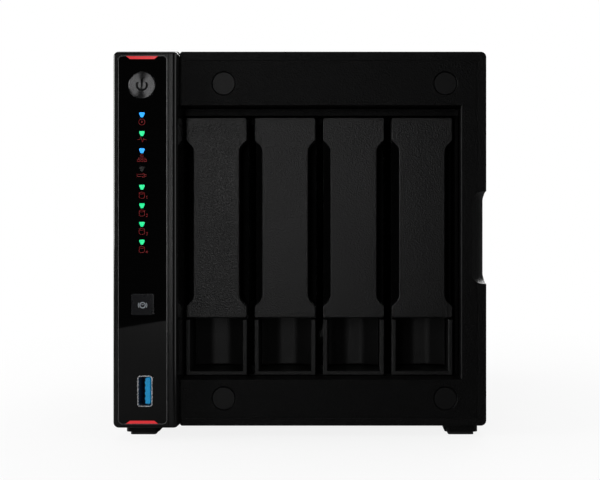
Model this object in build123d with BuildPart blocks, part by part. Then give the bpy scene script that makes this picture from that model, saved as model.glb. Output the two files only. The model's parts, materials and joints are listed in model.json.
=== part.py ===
"""Four-bay desktop network attached storage.

Frame: +Z up, front towards -Y, +X to the viewer's right, origin on the standing surface at the
middle of the footprint. Millimetres.
"""
import os

from build123d import *

# ---------------------------------------------------------------- driving dimensions
width = 168.0
depth = 230.0
height = 175.0

left = -width / 2
right = width / 2
strip_front = -depth / 2
back = depth / 2
top = height

foot_height = 5.0
body_bottom = foot_height
strip_right = -55.3
strip_proud = 8.0
bezel_front = strip_front + strip_proud
cover_fillet = 2.5
seam_chamfer = 0.7
fit = 0.1

# rims of the covers around the front bezel
rim_top = 3.9
rim_side = 4.1
rim_bottom = 3.3
rim_depth = 14.0
cover_wall = 2.5

# opening in the front bezel
opening_right = 72.9
opening_bottom = 25.9
opening_top = 150.7
opening_depth = 13.3
bezel_thickness = 3.0
bezel_wall = 2.0

# trays
bay_count = 4
bay_pitch = 32.05
first_bay = -40.4
tray_width = 28.5
tray_bottom = 26.1
tray_top = 146.3
tray_front = bezel_front + opening_depth
recess_top = 52.1
recess_border = 2.0
recess_depth = 24.0
tray_wall = 1.5
carrier_front = tray_front + 11.5
carrier_thickness = 2.5
side_plate = 1.0
tray_back = 76.0
rail_gap = 0.25
rail_thickness = 2.0
plate_slot_rise = 26.0
plate_slot_height = 16.0

# levers
lever_bottom = 52.9
lever_top = 146.4
lever_thickness = 5.5
lever_waist = 21.5
lever_axis_y = tray_front + 3.4
lever_axis_z = 138.0
pin_radius = 1.0
pin_length = 14.0
pin_running_clearance = 0.05
ear_inner = 4.0
ear_outer = 6.0
ear_radius = 2.0
ear_clearance = 0.3

# release tabs
tab_gap = 0.3
tab_width = tray_width - 2 * recess_border - 2 * tab_gap
tab_bottom = tray_bottom + recess_border + tab_gap
tab_top = recess_top - tab_gap
tab_floor = tray_front + 21.0
tab_hollow = 3.8
tab_sheet = 1.4
tab_back = tab_floor + tab_sheet
tab_stem_width = 6.0
tab_stem_height = 9.0
tab_stem_z = 40.5

# 3.5 inch drives
drive_width = 26.1
drive_height = 101.6
drive_length = 147.0
drive_front = tray_front + recess_depth + tray_wall + 0.7
drive_bottom = (tray_bottom + tray_top - drive_height) / 2
drive_back = drive_front + drive_length

# cage, backplane
cage_left = -56.9
cage_right = 73.0
cage_sheet = 1.5
cage_floor = 25.8
cage_ceiling = 147.2
cage_front = tray_front + lever_thickness + 1.0
cage_back = drive_back + 4.9
guide_height = 3.0
guide_thickness = 2.0
board_thickness = 1.6
backplane_front = cage_back + fit

# control strip
strip_x = -71.1
strip_floor = 2.0
panel_recess = 0.3
panel_thickness = 1.6
panel_left = -81.8
panel_right = -59.7
panel_bottom = 7.0
panel_top = 172.2
front_board_y = -101.6
power_z = 158.9
power_radius = 6.0
copy_z = 60.65
copy_width = 10.2
copy_height = 9.4
usb_front_x = -69.7
usb_front_z = 21.9
usb_width = 6.8
usb_height = 14.0
usb_sheet = 0.5
usb_corner = 1.3
lens_width = 2.3
lens_height = 2.1
blue_lens_heights = (145.6, 129.5)
green_lens_heights = (137.2, 113.2, 104.9, 96.6, 88.6)
dark_lens_heights = (121.4,)
button_gap = 0.3
button_inset = 0.12
button_travel = 0.8

# magnets that hold the front cover
magnet_radius = 4.95
magnet_seats = ((-35.4, 160.6), (65.4, 160.6), (-35.4, 17.4), (65.4, 17.4))

# feet
foot_x = 73.0
foot_front_y = bezel_front + 4.0
foot_size = 15.0
pad_size = 11.7
pad_height = 1.5
foot_rear_y = 106.0

# fan and rear panel
fan_x = 8.8
fan_z = 90.0
fan_size = 120.0
fan_thickness = 25.0
fan_bore = 58.0
fan_hole_pitch = 105.0
rear_face = 113.0
rear_sheet = 1.5
fan_back = rear_face - rear_sheet - fit
fan_front = fan_back - fan_thickness

# main board, upright in the left module, parts on its left side
board_right = -60.4
board_left = board_right - board_thickness
port_back = rear_face + 0.5
lan_heights = (62.0, 80.0)
rear_usb_heights = (103.0, 121.0)
video_height = 141.0
inlet_height = 30.0
lock_slot_z = 160.0

os.makedirs("parts", exist_ok=True)


# ---------------------------------------------------------------- helpers
def block(x_span, y_span, z_span, mode=Mode.ADD):
    """A box that fills the three spans."""
    middle = [(low + high) / 2 for low, high in (x_span, y_span, z_span)]
    size = [high - low for low, high in (x_span, y_span, z_span)]
    with Locations(tuple(middle)):
        Box(*size, mode=mode)


def around(middle, size):
    """The span of this size about its middle."""
    return (middle - size / 2, middle + size / 2)


def facing_front(y):
    """The upright plane at depth y: local x is X, local y is Z, and its normal is -Y."""
    return Plane.XZ.offset(-y)


def rod(x, z, y_span, radius, mode=Mode.ADD):
    """A cylinder along Y."""
    with Locations((x, sum(y_span) / 2, z)):
        Cylinder(radius, y_span[1] - y_span[0], rotation=(90, 0, 0), mode=mode)


def cross_rod(x_span, y, z, radius, mode=Mode.ADD):
    """A cylinder along X."""
    with Locations((sum(x_span) / 2, y, z)):
        Cylinder(radius, x_span[1] - x_span[0], rotation=(0, 90, 0), mode=mode)


def save(shape, name):
    """Label a finished piece and write it to its own file."""
    shape.label = name
    export_step(shape, f"parts/{name}.step")


# ---------------------------------------------------------------- covers
scoop_front_x = 77.5
scoop_back_y = bezel_front + 15.0
scoop_bottom = 69.5
scoop_top = 111.5
scoop_end_fillet = 4.0

with BuildPart(Plane.XY.offset(scoop_bottom)) as scoop:
    with BuildSketch(Plane.XY.offset(scoop_bottom)):
        with BuildLine():
            hollow = SagittaArc((scoop_front_x, bezel_front), (right, scoop_back_y), -1.6)
            Polyline(
                hollow @ 1,
                (right + 5, scoop_back_y),
                (right + 5, bezel_front - 5),
                (scoop_front_x, bezel_front - 5),
                hollow @ 0,
            )
        make_face()
    extrude(amount=scoop_top - scoop_bottom)
    hollow_face = scoop.faces().filter_by(GeomType.CYLINDER)[0]
    curved_ends = hollow_face.edges().filter_by(GeomType.CIRCLE)
    fillet(curved_ends, scoop_end_fillet)

with BuildPart() as main_cover:
    block((strip_right + fit, right), (bezel_front, back), (body_bottom, top))
    outer_edges = main_cover.edges().filter_by(Axis.Y).group_by(Axis.X)[-1]
    fillet(outer_edges, cover_fillet)
    seam_edges = main_cover.edges().filter_by(Axis.Y).group_by(Axis.X)[0]
    chamfer(seam_edges, seam_chamfer)
    inside_y = (bezel_front - 1, back + 1)
    inside_z = (body_bottom + rim_bottom, top - rim_top)
    block((strip_right - 1, right - rim_side), inside_y, inside_z, mode=Mode.SUBTRACT)
    hollow_y = (bezel_front + rim_depth, back + 1)
    hollow_z = (body_bottom + cover_wall, top - cover_wall)
    block((strip_right - 1, right - cover_wall), hollow_y, hollow_z, mode=Mode.SUBTRACT)
    add(scoop.part, mode=Mode.SUBTRACT)
save(main_cover.part, "main_cover")

with BuildPart() as left_cover:
    block((left, strip_right - fit), (bezel_front + fit, back), (body_bottom, top))
    outer_edges = left_cover.edges().filter_by(Axis.Y).group_by(Axis.X)[0]
    fillet(outer_edges, cover_fillet)
    seam_edges = left_cover.edges().filter_by(Axis.Y).group_by(Axis.X)[-1]
    chamfer(seam_edges, seam_chamfer)
    hollow_z = (body_bottom + cover_wall, top - cover_wall)
    block((left + cover_wall, strip_right + 1), inside_y, hollow_z, mode=Mode.SUBTRACT)
save(left_cover.part, "left_cover")


# ---------------------------------------------------------------- front bezel
bezel_right = right - rim_side - fit
bezel_bottom = body_bottom + rim_bottom + fit
bezel_top = top - rim_top - fit

with BuildPart() as front_bezel:
    plate_y = (bezel_front, bezel_front + bezel_thickness)
    tunnel_y = (bezel_front, tray_front)
    block((strip_right + fit, bezel_right), plate_y, (bezel_bottom, bezel_top))
    wall_z = (opening_bottom - bezel_wall, opening_top + bezel_wall)
    block((strip_right + fit, opening_right + bezel_wall), tunnel_y, wall_z)
    scoop_backing_z = (scoop_bottom - 3, scoop_top + 3)
    block((opening_right, bezel_right), tunnel_y, scoop_backing_z)
    tunnel_x = (strip_right - 1, opening_right)
    open_y = (bezel_front - 1, tray_front + 1)
    block(tunnel_x, open_y, (opening_bottom, opening_top), mode=Mode.SUBTRACT)
    for seat_x, seat_z in magnet_seats:
        seat_y = (bezel_front - 1, bezel_front + 2.2)
        rod(seat_x, seat_z, seat_y, magnet_radius + 0.35, mode=Mode.SUBTRACT)
    add(scoop.part, mode=Mode.SUBTRACT)
    opening_edges = front_bezel.faces().sort_by(Axis.Y)[0].inner_wires()
    chamfer(opening_edges.edges().filter_by(GeomType.CIRCLE), 0.3)
save(front_bezel.part, "front_bezel")

with BuildPart() as cover_magnets:
    for seat_x, seat_z in magnet_seats:
        rod(seat_x, seat_z, (bezel_front + 0.1, bezel_front + 2.2), magnet_radius)
save(cover_magnets.part, "cover_magnets")


# ---------------------------------------------------------------- control strip
strip_top = top - 1.0
strip_bottom = body_bottom + 0.4
strip_edge_fillet = 1.2
rib_fillet = 2.2
floor_front = strip_front + strip_floor
floor_back = floor_front + strip_floor
through_floor = (strip_front - 1, floor_back + 1)


def lens_outline(z, gap):
    """Corner points of a status lens: flat on top, narrowing to a short lower edge."""
    half_top = lens_width / 2 + gap
    half_low = lens_width / 5 + gap
    upper = z + lens_height / 2 + gap
    lower = z - lens_height / 2 - gap
    sides = [(half_top, upper), (half_top, z + lens_height / 6), (half_low, lower)]
    return [(strip_x + x, y) for x, y in sides] + [(strip_x - x, y) for x, y in reversed(sides)]


def lens_group(heights, gap, y_span):
    """Status lenses, or their holes, at these heights."""
    with BuildPart() as lenses:
        for z in heights:
            with BuildSketch(facing_front(y_span[0])) as outline:
                with BuildLine():
                    Polyline(lens_outline(z, gap), close=True)
                make_face()
                fillet(outline.vertices(), 0.3)
            extrude(amount=y_span[0] - y_span[1])
    return lenses.part


all_lens_heights = blue_lens_heights + green_lens_heights + dark_lens_heights
lens_holes = lens_group(all_lens_heights, 0.05, through_floor)

accent_height = 1.5
accent_wide = 15.0
accent_narrow = 10.8


def accent(edge_z, direction, gap):
    """Red wedge at the panel's end, wide side on the end. direction is +1 at the top."""
    inner_z = edge_z - direction * (accent_height + gap)
    outer_z = edge_z + direction * gap
    half_wide = accent_wide / 2 + 2 * gap
    half_narrow = accent_narrow / 2 + gap
    front = strip_front + panel_recess
    with BuildPart() as wedge:
        with BuildSketch(facing_front(front)):
            with BuildLine():
                Polyline(
                    (strip_x - half_wide, outer_z),
                    (strip_x + half_wide, outer_z),
                    (strip_x + half_narrow, inner_z),
                    (strip_x - half_narrow, inner_z),
                    close=True,
                )
            make_face()
        extrude(amount=-panel_thickness)
    return wedge.part


def control_holes(y_span, gap):
    """Cut the openings of the power button, copy button and USB socket."""
    rod(strip_x, power_z, y_span, power_radius + gap, mode=Mode.SUBTRACT)
    copy_x = around(strip_x + 0.25, copy_width + 2 * gap)
    block(copy_x, y_span, around(copy_z, copy_height + 2 * gap), mode=Mode.SUBTRACT)
    usb_x = around(usb_front_x, usb_width + 0.2)
    block(usb_x, y_span, around(usb_front_z, usb_height + 0.2), mode=Mode.SUBTRACT)


with BuildPart() as strip_bezel:
    block((left, strip_right), (strip_front, bezel_front), (strip_bottom, strip_top))
    left_edges = strip_bezel.edges().filter_by(Axis.Y).group_by(Axis.X)[0]
    fillet(left_edges, cover_fillet)
    rib_edge = strip_bezel.faces().sort_by(Axis.Y)[0].edges().filter_by(Axis.Z).sort_by(Axis.X)[-1]
    fillet(rib_edge, rib_fillet)
    fillet(strip_bezel.faces().sort_by(Axis.Y)[0].edges(), strip_edge_fillet)
    with BuildSketch(facing_front(strip_front)) as panel_seat:
        with Locations(((panel_left + panel_right) / 2, (panel_bottom + panel_top) / 2)):
            RectangleRounded(panel_right - panel_left, panel_top - panel_bottom, 2.0)
    extrude(amount=-strip_floor, mode=Mode.SUBTRACT)
    groove_x = (panel_right + 0.5, panel_right + 1.2)
    groove_y = (strip_front - 1, strip_front + 0.8)
    block(groove_x, groove_y, (strip_bottom + 1.5, strip_top - 1.5), mode=Mode.SUBTRACT)
    cavity_x = (left + 2.2, strip_right - 2.0)
    cavity_y = (floor_back, bezel_front + 1)
    block(cavity_x, cavity_y, (body_bottom + 2.5, top - 2.5), mode=Mode.SUBTRACT)
    side_wall_z = (opening_bottom - bezel_wall, opening_top + bezel_wall)
    block((strip_right - 1.2, strip_right), (bezel_front, tray_front), side_wall_z)
    control_holes(through_floor, button_gap)
    add(lens_holes, mode=Mode.SUBTRACT)
save(strip_bezel.part, "strip_bezel")

with BuildPart() as strip_panel:
    with BuildSketch(facing_front(strip_front + panel_recess)):
        with Locations(((panel_left + panel_right) / 2, (panel_bottom + panel_top) / 2)):
            panel_width = panel_right - panel_left - 2 * fit
            panel_height = panel_top - panel_bottom - 2 * fit
            RectangleRounded(panel_width, panel_height, 1.9)
    extrude(amount=-panel_thickness)
    chamfer(strip_panel.faces().sort_by(Axis.Y)[0].edges(), 0.25)
    control_holes(through_floor, button_gap)
    add(lens_holes, mode=Mode.SUBTRACT)
    add(accent(panel_top, 1, 0.22), mode=Mode.SUBTRACT)
    add(accent(panel_bottom, -1, 0.22), mode=Mode.SUBTRACT)
save(strip_panel.part, "strip_panel")

with BuildPart() as red_accents:
    add(accent(panel_top - 0.1, 1, 0))
    add(accent(panel_bottom + 0.1, -1, 0))
save(red_accents.part, "red_accents")

lens_span = (strip_front + panel_recess, floor_back + 0.8)
save(lens_group(blue_lens_heights, 0, lens_span), "blue_status_lenses")
save(lens_group(green_lens_heights, 0, lens_span), "green_status_lenses")
save(lens_group(dark_lens_heights, 0, lens_span), "dark_status_lens")


# ---------------------------------------------------------------- buttons and front board
flange_lip = 1.0
flange_front = floor_back + fit
flange_back = flange_front + 1.0
stem_back = front_board_y - 3.0
button_front = strip_front + button_inset

with BuildPart() as power_button:
    rod(strip_x, power_z, (button_front, flange_back), power_radius)
    fillet(power_button.edges().filter_by(GeomType.CIRCLE).sort_by(Axis.Y)[0], 0.4)
    rod(strip_x, power_z, (flange_front, flange_back), power_radius + flange_lip)
    rod(strip_x, power_z, (flange_back, stem_back), 2.0)
    with BuildSketch(facing_front(button_front)):
        with Locations((strip_x, power_z)):
            Circle(2.7)
            Circle(1.8, mode=Mode.SUBTRACT)
            with Locations((0, 2.75)):
                Rectangle(6.0, 3.0, mode=Mode.SUBTRACT)
            with Locations((0, 1.05)):
                Rectangle(0.85, 3.6)
    extrude(amount=-0.35, mode=Mode.SUBTRACT)
save(power_button.part, "power_button")

with BuildPart() as copy_button:
    copy_x = around(strip_x + 0.25, copy_width)
    block(copy_x, (button_front, flange_back), around(copy_z, copy_height))
    fillet(copy_button.edges().filter_by(Axis.Y), 0.8)
    fillet(copy_button.faces().sort_by(Axis.Y)[0].edges(), 0.35)
    flange_x = around(strip_x + 0.25, copy_width + 2 * flange_lip)
    block(flange_x, (flange_front, flange_back), around(copy_z, copy_height + 2 * flange_lip))
    rod(strip_x, copy_z, (flange_back, stem_back), 2.0)
save(copy_button.part, "copy_button")

with BuildPart() as front_board:
    board_y = (front_board_y, front_board_y + board_thickness)
    block((-81.0, -60.5), board_y, (10.0, 168.0))
save(front_board.part, "front_board")

with BuildPart() as button_switches:
    for switch_z in (power_z, copy_z):
        switch_y = (front_board_y - 2.0, front_board_y)
        block(around(strip_x, 6.0), switch_y, around(switch_z, 6.0))
        plunger_y = (stem_back + button_travel + fit, front_board_y - 2.0)
        rod(strip_x, switch_z, plunger_y, 1.6)
save(button_switches.part, "button_switches")

with BuildPart() as status_leds:
    for lens_z in all_lens_heights:
        led_y = (front_board_y - 1.2, front_board_y)
        block(around(strip_x, 1.6), led_y, around(lens_z, 1.6))
save(status_leds.part, "status_leds")


# ---------------------------------------------------------------- USB sockets
def usb_shell(x, z, y_front, y_end, mouth_sign):
    """Bent metal shell of an upright USB-A socket. mouth_sign is -1 when it opens to the front."""
    with BuildPart() as shell:
        x_span = around(x, usb_width)
        z_span = around(z, usb_height)
        block(x_span, (y_front, y_end), z_span)
        fillet(shell.edges().filter_by(Axis.Y), usb_corner)
        inner_x = around(x, usb_width - 2 * usb_sheet)
        inner_z = around(z, usb_height - 2 * usb_sheet)
        bottom_sheet = 0.8
        inner_y = (y_front - 1, y_end - bottom_sheet)
        if mouth_sign > 0:
            inner_y = (y_front + bottom_sheet, y_end + 1)
        with BuildSketch(facing_front(inner_y[0])):
            with Locations((x, z)):
                RectangleRounded(inner_x[1] - inner_x[0], inner_z[1] - inner_z[0], usb_corner - usb_sheet)
        extrude(amount=inner_y[0] - inner_y[1], mode=Mode.SUBTRACT)
    return shell.part


def usb_tongue(x, z, y_span):
    """Plastic tongue with its four raised contacts on the left."""
    tongue_width = 2.0
    with BuildPart() as tongue:
        block(around(x, tongue_width), y_span, around(z, 11.4))
        for step in range(4):
            contact_z = z + (step - 1.5) * 2.4
            contact_x = (x - tongue_width / 2 - 0.25, x)
            block(contact_x, y_span, around(contact_z, 1.1))
    return tongue.part


usb_depth = 13.2
front_usb_y = (strip_front, strip_front + usb_depth)
front_shell = usb_shell(usb_front_x, usb_front_z, front_usb_y[0], front_usb_y[1], -1)
save(front_shell, "front_usb_shell")
tongue_y = (front_usb_y[0] + 1.2, front_usb_y[1] - 0.8)
save(usb_tongue(usb_front_x + 1.05, usb_front_z, tongue_y), "front_usb_tongue")


# ---------------------------------------------------------------- trays, levers, drives
def bay_centre(index):
    return first_bay + index * bay_pitch


def make_tray(centre):
    """Drive carrier: recess box in front, carrier plate behind the lever, side plate and rails."""
    full_x = around(centre, tray_width)
    recess_back = tray_front + recess_depth
    box_back = recess_back + tray_wall
    plate_x = (full_x[1] - side_plate, full_x[1])
    rail_x = (full_x[0] + 0.6, full_x[1])
    carrier_y = (carrier_front, carrier_front + carrier_thickness)
    with BuildPart() as tray:
        block(full_x, (tray_front, box_back), (tray_bottom, recess_top))
        recess_x = around(centre, tray_width - 2 * recess_border)
        recess_z = (tray_bottom + recess_border, recess_top + 1)
        block(recess_x, (tray_front - 1, recess_back), recess_z, mode=Mode.SUBTRACT)
        front_rim = tray.faces().sort_by(Axis.Y)[0].edges()
        chamfer(front_rim, 0.3)
        block(full_x, (tray_front + 7.5, box_back), (recess_top, recess_top + tray_wall))
        block(full_x, carrier_y, (recess_top, tray_top))
        block(plate_x, (carrier_front, tray_back), (tray_bottom, tray_top))
        lower_rail = drive_bottom - rail_gap - rail_thickness
        upper_rail = drive_bottom + drive_height + rail_gap
        for rail_low, rail_front in ((lower_rail, box_back), (upper_rail, carrier_front)):
            block(rail_x, (rail_front, tray_back), (rail_low, rail_low + rail_thickness))
        for slot_rise in (-plate_slot_rise, plate_slot_rise):
            slot_z = around(drive_bottom + drive_height / 2 + slot_rise, plate_slot_height)
            slot_x = (plate_x[0] - 0.05, plate_x[1] + 1)
            block(slot_x, (box_back + 12.0, tray_back - 14.0), slot_z, mode=Mode.SUBTRACT)
        for side in (-1, 1):
            ear_x = sorted((centre + side * ear_inner, centre + side * ear_outer))
            block(ear_x, (lever_axis_y, carrier_front), around(lever_axis_z, 2 * ear_radius))
            cross_rod(ear_x, lever_axis_y, lever_axis_z, ear_radius)
        pin_x = around(centre, pin_length)
        cross_rod(pin_x, lever_axis_y, lever_axis_z, pin_radius, mode=Mode.SUBTRACT)
        stem_x = around(centre, tab_stem_width + 2 * tab_gap)
        stem_z = around(tab_stem_z, tab_stem_height + 2 * tab_gap)
        block(stem_x, (recess_back - 1, box_back + 1), stem_z, mode=Mode.SUBTRACT)
    return tray.part


def make_lever(centre):
    """Bone-shaped lever: full width at both ends, a waist between, hinged near its top."""
    half = tray_width / 2
    waist = lever_waist / 2
    shoulder = half - waist
    low_end = lever_bottom + 5.3
    high_end = 135.6
    outline_points = [(half, lever_bottom), (half, low_end), (waist, low_end + shoulder)]
    outline_points += [(waist, high_end - shoulder), (half, high_end), (half, lever_top)]
    mirrored = [(-x, z) for x, z in reversed(outline_points)]
    with BuildPart() as lever:
        with BuildSketch(facing_front(tray_front)) as outline:
            with BuildLine():
                Polyline([(centre + x, z) for x, z in outline_points + mirrored], close=True)
            make_face()
            corners = outline.vertices()
            waist_corners = corners.filter_by(lambda v: abs(abs(v.X - centre) - waist) < 0.01)
            fillet(waist_corners, 4.6)
        extrude(amount=-lever_thickness)
        top_back = lever.edges().filter_by(Axis.X).group_by(Axis.Z)[-1].sort_by(Axis.Y)[-1]
        chamfer(top_back, 2.0)
        upright = lever.edges().filter_by(Axis.Y)
        end_corners = upright.group_by(Axis.Z)[0] + upright.group_by(Axis.Z)[-1]
        fillet(end_corners, 0.9)
        fillet(lever.faces().sort_by(Axis.Y)[0].edges(), 0.5)
        pocket_y = (tray_front + 2.2, tray_front + lever_thickness + 1)
        block(around(centre, lever_waist - 3.5), pocket_y, (62.0, 128.0), mode=Mode.SUBTRACT)
        for side in (-1, 1):
            inner = centre + side * (ear_inner - ear_clearance)
            outer = centre + side * (ear_outer + ear_clearance)
            notch_y = (lever_axis_y - ear_radius - ear_clearance, tray_front + lever_thickness + 1)
            notch_z = (lever_axis_z - ear_radius - ear_clearance, lever_top + 1)
            block(sorted((inner, outer)), notch_y, notch_z, mode=Mode.SUBTRACT)
        bore_x = around(centre, pin_length + 0.6)
        bore_radius = pin_radius + pin_running_clearance
        cross_rod(bore_x, lever_axis_y, lever_axis_z, bore_radius, mode=Mode.SUBTRACT)
    return lever.part


def make_lever_pin(centre):
    with BuildPart() as pin:
        cross_rod(around(centre, pin_length), lever_axis_y, lever_axis_z, pin_radius)
    return pin.part


def make_release_tab(centre):
    """Push tab as wide as the recess, hollowed for a fingertip, with the stem behind it."""
    half = tab_width / 2
    hollow_half = 4.0
    with BuildPart() as tab:
        with BuildSketch(Plane.XY.offset(tab_bottom)) as section:
            with BuildLine():
                Polyline(
                    (centre - half, tab_floor - tab_hollow),
                    (centre - hollow_half, tab_floor),
                    (centre + hollow_half, tab_floor),
                    (centre + half, tab_floor - tab_hollow),
                    (centre + half, tab_back),
                    (centre - half, tab_back),
                    close=True,
                )
            make_face()
            hollow_corners = section.vertices().filter_by(lambda v: abs(v.Y - tab_floor) < 0.01)
            fillet(hollow_corners, 7.5)
        extrude(amount=tab_top - tab_bottom)
        lower_edges = tab.faces().sort_by(Axis.Z)[0].edges()
        front_edges = lower_edges.filter_by(lambda e: e.center().Y < tab_back - 0.1)
        chamfer(front_edges - front_edges.filter_by(Axis.Y), 0.5)
        stem_y = (tab_back, tab_back + 2.2)
        block(around(centre, tab_stem_width), stem_y, around(tab_stem_z, tab_stem_height))
    return tab.part


def make_drive(centre):
    """3.5 inch drive on its edge: cast body, raised lid and the connector notch at the back."""
    drive_x = around(centre, drive_width)
    drive_z = (drive_bottom, drive_bottom + drive_height)
    with BuildPart() as drive:
        block((drive_x[0] + 0.8, drive_x[1] - fit), (drive_front, drive_back), drive_z)
        fillet(drive.edges().filter_by(Axis.X), 2.0)
        lid_y = (drive_front + 2.5, drive_back - 2.5)
        lid_z = (drive_z[0] + 2.0, drive_z[1] - 2.0)
        block((drive_x[0], drive_x[0] + 1.0), lid_y, lid_z)
        notch_z = around(drive_bottom + 25.0, 36.0)
        notch_x = (drive_x[1] - 7.0, drive_x[1] + 1)
        block(notch_x, (drive_back - 4.0, drive_back + 1), notch_z, mode=Mode.SUBTRACT)
    return drive.part


for bay in range(bay_count):
    bay_x = bay_centre(bay)
    save(make_tray(bay_x), f"tray_{bay + 1}")
    save(make_lever(bay_x), f"lever_{bay + 1}")
    save(make_lever_pin(bay_x), f"lever_pin_{bay + 1}")
    save(make_release_tab(bay_x), f"release_tab_{bay + 1}")
    save(make_drive(bay_x), f"drive_{bay + 1}")


# ---------------------------------------------------------------- cage and backplane
with BuildPart() as latch_bar:
    bar_y = (tray_front, cage_front - fit)
    block((strip_right + fit, opening_right - 0.2), bar_y, (cage_ceiling, opening_top - 0.4))
    bar_ends = latch_bar.edges().filter_by(Axis.Y).group_by(Axis.X)[-1]
    fillet(bar_ends, 0.8)
save(latch_bar.part, "latch_bar")

with BuildPart() as drive_cage:
    cage_x = (cage_left, cage_right)
    cage_y = (cage_front, cage_back)
    block(cage_x, cage_y, (cage_floor - cage_sheet, cage_ceiling + cage_sheet))
    inner_x = (cage_left + cage_sheet, cage_right - cage_sheet)
    open_y = (cage_front - 1, cage_back + 1)
    block(inner_x, open_y, (cage_floor, cage_ceiling), mode=Mode.SUBTRACT)
    for gap in range(bay_count - 1):
        guide_x = around(bay_centre(gap) + bay_pitch / 2, guide_thickness)
        guide_y = (carrier_front + carrier_thickness + 1, cage_back - 2)
        block(guide_x, guide_y, (cage_floor, cage_floor + guide_height))
        block(guide_x, guide_y, (cage_ceiling - guide_height, cage_ceiling))
save(drive_cage.part, "drive_cage")

connector_z = drive_bottom + 25.0

with BuildPart() as backplane_board:
    board_y = (backplane_front, backplane_front + board_thickness)
    block((cage_left + 2, cage_right), board_y, (30.0, 145.0))
    for bay in range(bay_count):
        vent_x = around(bay_centre(bay), 22.0)
        vent_y = (backplane_front - 1, backplane_front + 3)
        block(vent_x, vent_y, (84.0, 138.0), mode=Mode.SUBTRACT)
save(backplane_board.part, "backplane_board")

with BuildPart() as drive_connectors:
    for bay in range(bay_count):
        socket_x = around(bay_centre(bay) + 9.8, 4.6)
        socket_y = (drive_back + 0.3, backplane_front)
        block(socket_x, socket_y, around(connector_z, 34.0))
save(drive_connectors.part, "drive_connectors")


# ---------------------------------------------------------------- main board
with BuildPart() as main_board:
    block((board_left, board_right), (-88.0, 110.0), (12.0, 168.0))
save(main_board.part, "main_board")

with BuildPart() as board_standoffs:
    for post_y in (-78.0, 10.0, 76.0):
        for post_z in (32.0, 138.0):
            post_x = (board_right, cage_left)
            cross_rod(post_x, post_y, post_z, 2.8)
save(board_standoffs.part, "board_standoffs")

with BuildPart() as processor:
    block((board_left - 1.8, board_left), around(-20.0, 30.0), around(100.0, 30.0))
save(processor.part, "processor")

with BuildPart() as heat_sink:
    sink_back = board_left - 1.8
    block((sink_back - 3.0, sink_back), around(-20.0, 44.0), around(100.0, 44.0))
    with Locations((sink_back - 8.0, -20.0, 100.0)):
        with GridLocations(0, 5.0, 1, 9):
            Box(10.0, 1.2, 44.0)
save(heat_sink.part, "heat_sink")

with BuildPart() as memory_modules:
    for module_y in (20.0, 32.0):
        block((board_left - 16.0, board_left - 4.5), around(module_y, 1.2), around(100.0, 67.0))
save(memory_modules.part, "memory_modules")

with BuildPart() as memory_sockets:
    for module_y in (20.0, 32.0):
        block((board_left - 6.5, board_left), around(module_y, 5.0), around(100.0, 72.0))
        slot_x = (board_left - 7.0, board_left - 4.5)
        block(slot_x, around(module_y, 1.2), around(100.0, 67.0), mode=Mode.SUBTRACT)
save(memory_sockets.part, "memory_sockets")


# ---------------------------------------------------------------- rear ports
jack_size = 16.0
jack_depth = 18.0
jack_left = board_left - 13.6
jack_hole_width = 6.8
jack_hole_height = 11.8
jack_hole_x = jack_left + 6.6

with BuildPart() as network_jacks:
    for jack_z in lan_heights:
        block((jack_left, board_left), (port_back - jack_depth, port_back), around(jack_z, jack_size))
        hole_y = (port_back - 13.0, port_back + 1)
        hole_x = around(jack_hole_x, jack_hole_width)
        block(hole_x, hole_y, around(jack_z, jack_hole_height), mode=Mode.SUBTRACT)
        key_x = (hole_x[1] - 0.5, hole_x[1] + 1.6)
        block(key_x, hole_y, around(jack_z, 6.0), mode=Mode.SUBTRACT)
save(network_jacks.part, "network_jacks")

rear_usb_x = board_left - 0.2 - usb_width / 2
rear_usb_y = (port_back - usb_depth, port_back)

with BuildPart() as rear_usb_shells:
    for socket_z in rear_usb_heights:
        add(usb_shell(rear_usb_x, socket_z, rear_usb_y[0], rear_usb_y[1], 1))
save(rear_usb_shells.part, "rear_usb_shells")

with BuildPart() as rear_usb_tongues:
    for socket_z in rear_usb_heights:
        tongue_y = (rear_usb_y[0] + 0.8, rear_usb_y[1] - 1.2)
        add(usb_tongue(rear_usb_x + 1.05, socket_z, tongue_y))
save(rear_usb_tongues.part, "rear_usb_tongues")

video_width = 5.6
video_length = 15.0
video_x = board_left - 0.4 - video_width / 2

with BuildPart() as video_socket:
    video_y = (port_back - 11.0, port_back)
    block(around(video_x, video_width), video_y, around(video_height, video_length))
    chamfer(video_socket.edges().filter_by(Axis.Y).group_by(Axis.X)[0], 1.6)
    hollow_y = (port_back - 9.0, port_back + 1)
    hollow_x = around(video_x + 0.2, video_width - 1.4)
    block(hollow_x, hollow_y, around(video_height, video_length - 3.0), mode=Mode.SUBTRACT)
    tongue_y = (port_back - 9.5, port_back - 0.8)
    block(around(video_x + 0.2, 1.6), tongue_y, around(video_height, 10.0))
save(video_socket.part, "video_socket")

inlet_left = board_left - 13.0
inlet_x = (inlet_left + board_left) / 2

with BuildPart() as power_inlet:
    block((inlet_left, board_left), (port_back - 14.0, port_back), around(inlet_height, 13.0))
    rod(inlet_x, inlet_height, (port_back - 10.0, port_back + 1), 3.2, mode=Mode.SUBTRACT)
    rod(inlet_x, inlet_height, (port_back - 11.0, port_back - 1.0), 1.25)
save(power_inlet.part, "power_inlet")


# ---------------------------------------------------------------- rear panel
panel_screw_seats = [(x, z) for x in (-77.0, -50.0, 77.0) for z in (14.0, 166.0)]
panel_screw_seats += [(-77.5, 92.0), (77.0, 90.0)]
screw_shank = 1.4
lock_slot = (7.0, 3.0)
vent_slot = (18.0, 2.4)
port_gap = 0.25

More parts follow.
